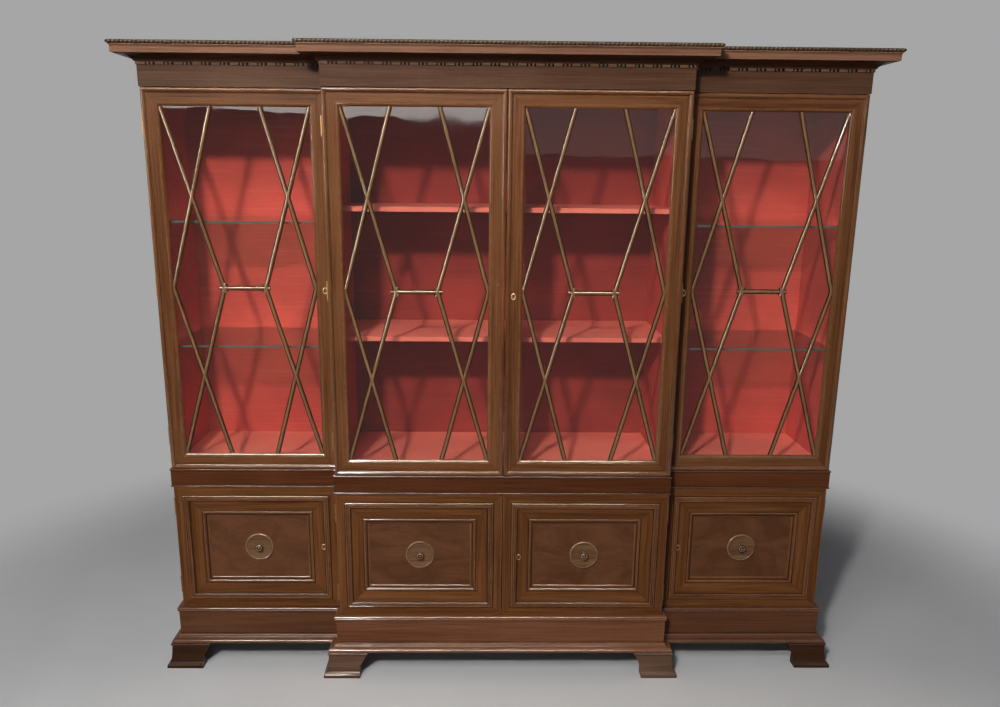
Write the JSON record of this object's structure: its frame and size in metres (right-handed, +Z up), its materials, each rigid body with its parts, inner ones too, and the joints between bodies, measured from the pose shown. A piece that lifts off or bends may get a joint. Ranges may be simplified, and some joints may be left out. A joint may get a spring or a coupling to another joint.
{
  "type": "breakfront bookcase",
  "caption": "Breakfront bookcase: astragal-glazed doors over panelled cupboard doors, the centre standing forward, with moulded cornice, waist band, plinth and bracket feet.",
  "frame": {"origin": "on the floor, under the centre of the overall box", "axes": "+X to the right seen from the front, -Y out of the front, +Z up"},
  "size_m": [2.522, 0.571, 2.2],
  "materials": {
    "mahogany": "french polished, medium gloss",
    "red_paint": "matt red paint on wood",
    "brass": "satin, aged",
    "glass": "clear, polished"
  },
  "bodies": {
    "case": {"cornice_rope_edge": "mahogany", "cornice_moulding": "mahogany", "frieze_board": "mahogany", "top_board": "red_paint", "upper_end_left": "mahogany", "upper_end_right": "mahogany", "upper_partition_left": "red_paint", "upper_partition_right": "red_paint", "upper_floor_board": "red_paint", "upper_back": "red_paint", "waist_board": "mahogany", "lower_end_left": "mahogany", "lower_end_right": "mahogany", "lower_partition_left": "mahogany", "lower_partition_right": "mahogany", "lower_floor_board": "mahogany", "lower_back": "mahogany", "plinth": "mahogany", "front_foot_left": "mahogany", "front_foot_right": "mahogany", "centre_foot_left": "mahogany", "centre_foot_right": "mahogany", "back_foot_left": "mahogany", "back_foot_right": "mahogany", "centre_shelf_upper": "red_paint", "centre_shelf_lower": "red_paint", "left_glass_shelf_upper": "glass", "left_glass_shelf_lower": "glass", "right_glass_shelf_upper": "glass", "right_glass_shelf_lower": "glass"},
    "left_wing_upper_door": {"left_wing_upper_frame": "mahogany", "left_wing_lattice": "mahogany", "left_wing_glass": "glass"},
    "left_wing_upper_bolt": {"left_wing_upper_lock_bolt": "brass"},
    "left_wing_lower_door": {"left_wing_lower_frame": "mahogany", "left_wing_panel": "mahogany", "left_wing_pull": "mahogany"},
    "left_wing_lower_bolt": {"left_wing_lower_lock_bolt": "brass"},
    "centre_left_upper_door": {"centre_left_upper_frame": "mahogany", "centre_left_lattice": "mahogany", "centre_left_glass": "glass"},
    "centre_left_lower_door": {"centre_left_lower_frame": "mahogany", "centre_left_panel": "mahogany", "centre_left_pull": "mahogany"},
    "centre_right_upper_door": {"centre_right_upper_frame": "mahogany", "centre_right_lattice": "mahogany", "centre_right_glass": "glass"},
    "centre_right_upper_bolt": {"centre_right_upper_lock_bolt": "brass"},
    "centre_right_lower_door": {"centre_right_lower_frame": "mahogany", "centre_right_panel": "mahogany", "centre_right_pull": "mahogany"},
    "centre_right_lower_bolt": {"centre_right_lower_lock_bolt": "brass"},
    "right_wing_upper_door": {"right_wing_upper_frame": "mahogany", "right_wing_lattice": "mahogany", "right_wing_glass": "glass"},
    "right_wing_upper_bolt": {"right_wing_upper_lock_bolt": "brass"},
    "right_wing_lower_door": {"right_wing_lower_frame": "mahogany", "right_wing_panel": "mahogany", "right_wing_pull": "mahogany"},
    "right_wing_lower_bolt": {"right_wing_lower_lock_bolt": "brass"}
  },
  "joints": [
    {"name": "left_wing_upper_hinge", "type": "hinge", "parent": "case", "child": "left_wing_upper_door", "pos_m": [-1.1935, -0.1222, 1.417], "axis": [0, 0, -1], "range_deg": [0, 110]},
    {"name": "left_wing_lower_hinge", "type": "hinge", "parent": "case", "child": "left_wing_lower_door", "pos_m": [-1.1935, -0.1222, 0.4635], "axis": [0, 0, -1], "range_deg": [0, 110]},
    {"name": "centre_left_upper_hinge", "type": "hinge", "parent": "case", "child": "centre_left_upper_door", "pos_m": [-0.5985, -0.1922, 1.417], "axis": [0, 0, -1], "range_deg": [0, 110]},
    {"name": "centre_left_lower_hinge", "type": "hinge", "parent": "case", "child": "centre_left_lower_door", "pos_m": [-0.5985, -0.1922, 0.4635], "axis": [0, 0, -1], "range_deg": [0, 110]},
    {"name": "centre_right_upper_hinge", "type": "hinge", "parent": "case", "child": "centre_right_upper_door", "pos_m": [0.5985, -0.1922, 1.417], "axis": [0, 0, 1], "range_deg": [0, 110]},
    {"name": "centre_right_lower_hinge", "type": "hinge", "parent": "case", "child": "centre_right_lower_door", "pos_m": [0.5985, -0.1922, 0.4635], "axis": [0, 0, 1], "range_deg": [0, 110]},
    {"name": "right_wing_upper_hinge", "type": "hinge", "parent": "case", "child": "right_wing_upper_door", "pos_m": [1.1935, -0.1222, 1.417], "axis": [0, 0, 1], "range_deg": [0, 110]},
    {"name": "right_wing_lower_hinge", "type": "hinge", "parent": "case", "child": "right_wing_lower_door", "pos_m": [1.1935, -0.1222, 0.4635], "axis": [0, 0, 1], "range_deg": [0, 110]},
    {"name": "left_wing_upper_bolt_slide", "type": "slide", "parent": "left_wing_upper_door", "child": "left_wing_upper_bolt", "axis": [1, 0, 0], "range_m": [0, 0.01]},
    {"name": "left_wing_lower_bolt_slide", "type": "slide", "parent": "left_wing_lower_door", "child": "left_wing_lower_bolt", "axis": [1, 0, 0], "range_m": [0, 0.01]},
    {"name": "centre_right_upper_bolt_slide", "type": "slide", "parent": "centre_right_upper_door", "child": "centre_right_upper_bolt", "axis": [-1, 0, 0], "range_m": [0, 0.01]},
    {"name": "centre_right_lower_bolt_slide", "type": "slide", "parent": "centre_right_lower_door", "child": "centre_right_lower_bolt", "axis": [-1, 0, 0], "range_m": [0, 0.01]},
    {"name": "right_wing_upper_bolt_slide", "type": "slide", "parent": "right_wing_upper_door", "child": "right_wing_upper_bolt", "axis": [-1, 0, 0], "range_m": [0, 0.01]},
    {"name": "right_wing_lower_bolt_slide", "type": "slide", "parent": "right_wing_lower_door", "child": "right_wing_lower_bolt", "axis": [-1, 0, 0], "range_m": [0, 0.01]}
  ]
}
